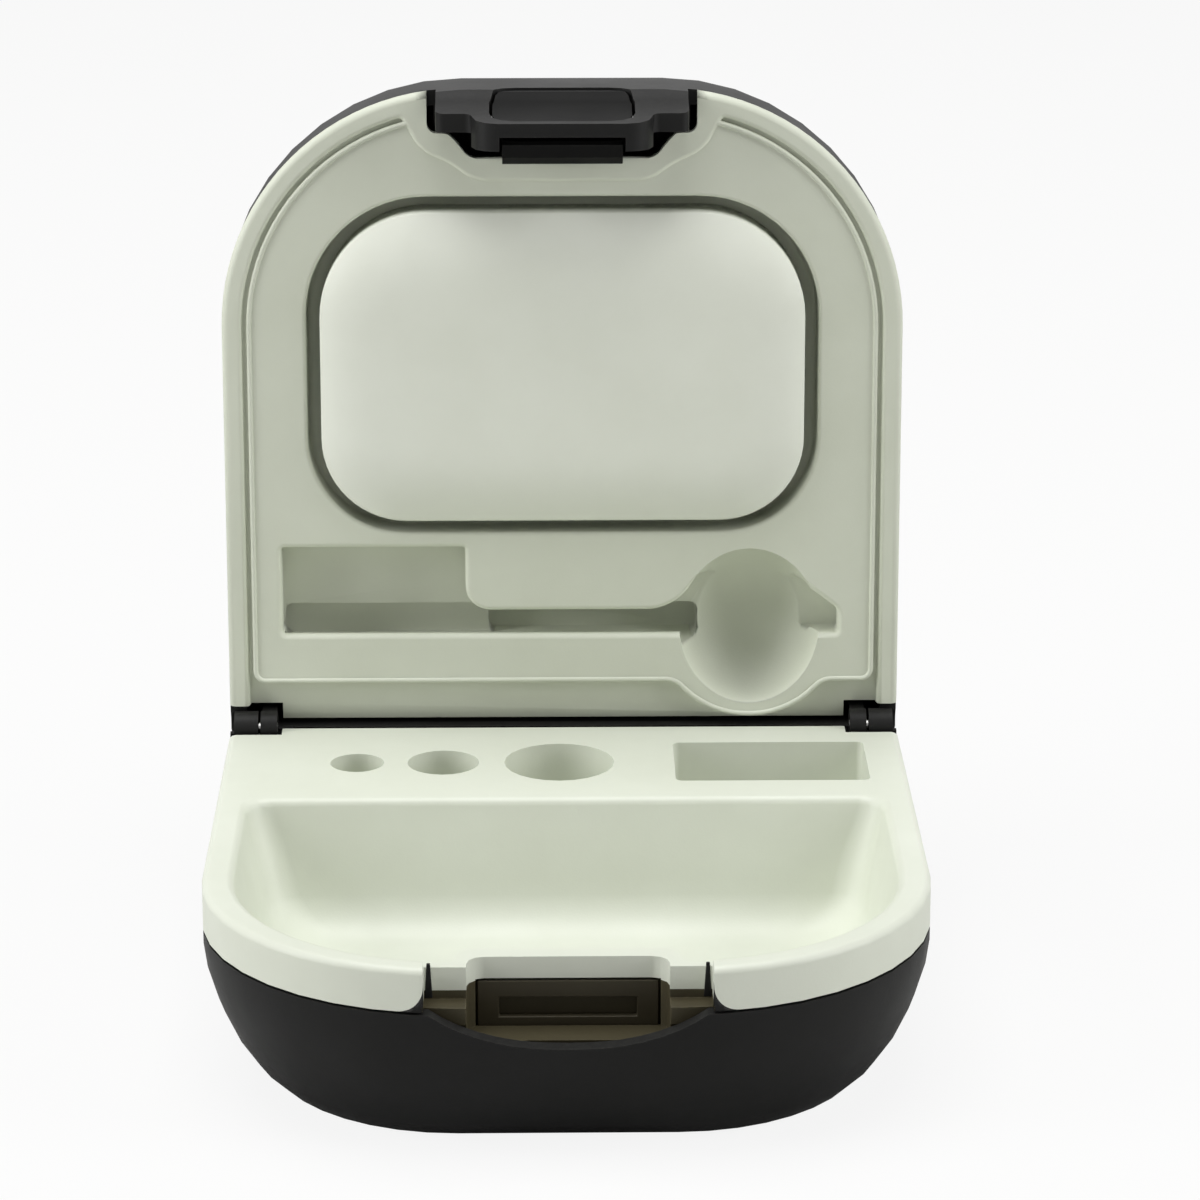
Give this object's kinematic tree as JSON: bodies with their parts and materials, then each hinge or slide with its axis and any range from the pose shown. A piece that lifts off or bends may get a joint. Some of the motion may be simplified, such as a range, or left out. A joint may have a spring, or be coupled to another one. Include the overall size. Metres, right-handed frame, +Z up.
{
  "type": "hearing aid case",
  "caption": "Hard clamshell case with a pale liner, a lid with a raised pad and a tool recess, battery pockets and a push-button front latch.",
  "frame": {"origin": "centre of the base's flat underside", "axes": "+Z up, +Y from the latch at the front to the hinge at the rear, +X to the right seen from the front"},
  "size_m": [0.08, 0.0944, 0.0992],
  "materials": {
    "base_shell": "satin black moulding with a fine grain",
    "base_tray": "satin pale grey-green cream moulding",
    "catch_plate": "dark brown-olive moulding, satin",
    "hinge_pin_left": "drawn steel wire",
    "hinge_pin_right": "drawn steel wire",
    "lid_shell": "satin black moulding with a fine grain",
    "lid_tray": "satin pale grey-green cream moulding",
    "lid_pad": "satin pale cream moulding, smooth and crowned",
    "latch_pin": "drawn steel wire",
    "latch_spring": "spring steel strip",
    "latch_lever": "semi-gloss black moulding"
  },
  "bodies": {
    "base": {"base_shell": "base_shell", "base_tray": "base_tray", "catch_plate": "catch_plate", "hinge_pin_left": "hinge_pin_left", "hinge_pin_right": "hinge_pin_right"},
    "lid": {"lid_shell": "lid_shell", "lid_tray": "lid_tray", "lid_pad": "lid_pad", "latch_pin": "latch_pin", "latch_spring": "latch_spring"},
    "latch": {"latch_lever": "latch_lever"}
  },
  "joints": [
    {"name": "lid_hinge", "type": "hinge", "parent": "base", "child": "lid", "pos_m": [0, 0.03468, 0.0226], "axis": [1, 0, 0], "range_deg": [0, 92.6]},
    {"name": "latch_press", "type": "hinge", "parent": "lid", "child": "latch", "pos_m": [0, 0.03462, 0.09628], "axis": [-1, 0, 0], "range_deg": [0, 5], "stiffness_Nm_per_rad": 0.15}
  ]
}
